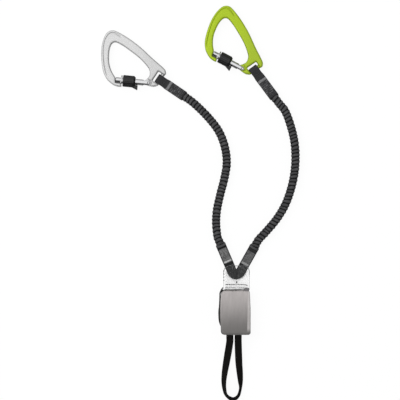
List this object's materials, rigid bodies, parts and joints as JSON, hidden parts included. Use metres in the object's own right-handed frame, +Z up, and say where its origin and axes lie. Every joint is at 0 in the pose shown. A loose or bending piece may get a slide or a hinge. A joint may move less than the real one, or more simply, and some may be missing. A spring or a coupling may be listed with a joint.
{
  "type": "via ferrata lanyard",
  "caption": "Y-shaped climbing lanyard: elastic arms with locking carabiners, a webbing absorber in a pouch and a tie-in loop.",
  "frame": {"origin": "middle of the pouch's underside, on the floor the lanyard lies on", "axes": "+Y from the tie-in loop towards the carabiners, +Z up off the floor, +X to the right seen from above"},
  "size_m": [0.3177, 0.6304, 0.0224],
  "materials": {
    "grey_forged_aluminium": "satin anodised",
    "lime_anodised_aluminium": "satin anodised",
    "silver_gate_metal": "polished",
    "polished_steel": "polished",
    "spring_steel": "drawn wire",
    "plunger_brass": "turned",
    "black_nylon_plastic": "moulded",
    "black_webbing": "woven nylon",
    "ribbed_elastic_webbing": "ribbed woven tube",
    "elastic_rubber": "bare strands",
    "grey_label_fabric": "woven label",
    "grey_tack_thread": "dense stitching",
    "white_webbing": "woven",
    "stitch_thread": "bar tack",
    "clear_film": "clear flexible film",
    "black_pouch_fabric": "woven",
    "grey_pouch_fabric": "coated fabric",
    "binding_tape": "woven tape"
  },
  "bodies": {
    "pouch_body": {"pouch_tray": "black_pouch_fabric", "pouch_gusset": "black_pouch_fabric", "absorber_webbing": "white_webbing", "stitch_row_upper": "stitch_thread", "stitch_row_lower": "stitch_thread", "clear_sleeve": "clear_film", "tie_in_yoke": "black_webbing"},
    "pouch_flap": {"pouch_cover": "grey_pouch_fabric", "cover_binding": "binding_tape", "cover_pull_tab": "binding_tape"},
    "tie_in_strap": {"tie_in_loop": "black_webbing"},
    "left_arm_root": {"left_root_strap": "black_webbing", "left_label": "grey_label_fabric"},
    "left_arm": {"left_sheath": "ribbed_elastic_webbing", "left_elastic_core": "elastic_rubber", "left_end_strap": "black_webbing", "left_bar_tack": "grey_tack_thread"},
    "left_carabiner": {"left_frame": "grey_forged_aluminium", "left_gate_rivet": "polished_steel"},
    "left_gate_arm": {"left_gate": "silver_gate_metal", "left_front_ring": "polished_steel", "left_sleeve_spring": "spring_steel", "left_gate_spring": "spring_steel"},
    "left_gate_plunger": {"left_plunger": "plunger_brass"},
    "left_lock": {"left_lock_sleeve": "black_nylon_plastic"},
    "right_arm_root": {"right_root_strap": "black_webbing", "right_label": "grey_label_fabric"},
    "right_arm": {"right_sheath": "ribbed_elastic_webbing", "right_elastic_core": "elastic_rubber", "right_end_strap": "black_webbing", "right_bar_tack": "grey_tack_thread"},
    "right_carabiner": {"right_frame": "lime_anodised_aluminium", "right_gate_rivet": "polished_steel"},
    "right_gate_arm": {"right_gate": "silver_gate_metal", "right_front_ring": "polished_steel", "right_sleeve_spring": "spring_steel", "right_gate_spring": "spring_steel"},
    "right_gate_plunger": {"right_plunger": "plunger_brass"},
    "right_lock": {"right_lock_sleeve": "black_nylon_plastic"}
  },
  "joints": [
    {"name": "cover_opens", "type": "hinge", "parent": "pouch_body", "child": "pouch_flap", "pos_m": [0.0249, 0, 0.01845], "axis": [0, 1, 0], "range_deg": [0, 140]},
    {"name": "tie_in_folds", "type": "hinge", "parent": "pouch_body", "child": "tie_in_strap", "pos_m": [0, -0.0387, 0.0167], "axis": [-1, 0, 0], "range_deg": [-80, 80]},
    {"name": "left_arm_spreads", "type": "hinge", "parent": "pouch_body", "child": "left_arm_root", "pos_m": [-0.0021, 0.0602, 0.0097], "axis": [0, 0, 1], "range_deg": [-3, 60]},
    {"name": "left_arm_folds", "type": "hinge", "parent": "left_arm_root", "child": "left_arm", "pos_m": [-0.0218, 0.1066, 0.0097], "axis": [0.9205, 0.3908, 0], "range_deg": [-80, 80]},
    {"name": "left_carabiner_flips", "type": "hinge", "parent": "left_arm", "child": "left_carabiner", "pos_m": [-0.12049, 0.37217, 0.00903], "axis": [0.5489, 0.8347, -0.0448], "range_deg": [-60, 60]},
    {"name": "left_gate_opens", "type": "hinge", "parent": "left_carabiner", "child": "left_gate_arm", "pos_m": [-0.1383, 0.3665, 0.0094], "axis": [-0.0047, -0.0505, -0.9987], "range_deg": [0, 28], "stiffness_Nm_per_rad": 0.3, "springref_deg": -22.92},
    {"name": "left_plunger_slides", "type": "slide", "parent": "left_gate_arm", "child": "left_gate_plunger", "axis": [-0.9957, 0.0924, 0], "range_m": [0, 0.0016], "deforming": ["left_gate_spring"]},
    {"name": "left_sleeve_slides", "type": "slide", "parent": "left_gate_arm", "child": "left_lock", "axis": [0.9957, -0.0924, 0], "range_m": [0, 0.008], "stiffness_N_per_m": 250, "springref_m": -0.005, "deforming": ["left_sleeve_spring"]},
    {"name": "right_arm_spreads", "type": "hinge", "parent": "pouch_body", "child": "right_arm_root", "pos_m": [0.0068, 0.0602, 0.0068], "axis": [0, 0, -1], "range_deg": [-3, 60]},
    {"name": "right_arm_folds", "type": "hinge", "parent": "right_arm_root", "child": "right_arm", "pos_m": [0.0308, 0.103, 0.0068], "axis": [0.8722, -0.4891, 0], "range_deg": [-80, 80]},
    {"name": "right_carabiner_flips", "type": "hinge", "parent": "right_arm", "child": "right_carabiner", "pos_m": [0.03053, 0.38789, 0.00903], "axis": [0.8246, 0.564, -0.0448], "range_deg": [-60, 60]},
    {"name": "right_gate_opens", "type": "hinge", "parent": "right_carabiner", "child": "right_gate_arm", "pos_m": [0.0119, 0.3894, 0.0094], "axis": [-0.0235, -0.0449, -0.9987], "range_deg": [0, 28], "stiffness_Nm_per_rad": 0.3, "springref_deg": -22.92},
    {"name": "right_plunger_slides", "type": "slide", "parent": "right_gate_arm", "child": "right_gate_plunger", "axis": [-0.8862, 0.4633, 0], "range_m": [0, 0.0016], "deforming": ["right_gate_spring"]},
    {"name": "right_sleeve_slides", "type": "slide", "parent": "right_gate_arm", "child": "right_lock", "axis": [0.8862, -0.4633, 0], "range_m": [0, 0.008], "stiffness_N_per_m": 250, "springref_m": -0.005, "deforming": ["right_sleeve_spring"]}
  ],
  "couplings": [
    {"joint": "left_plunger_slides", "follows": "left_gate_opens", "m_per_rad": 0.003274},
    {"joint": "right_plunger_slides", "follows": "right_gate_opens", "m_per_rad": 0.003274}
  ]
}
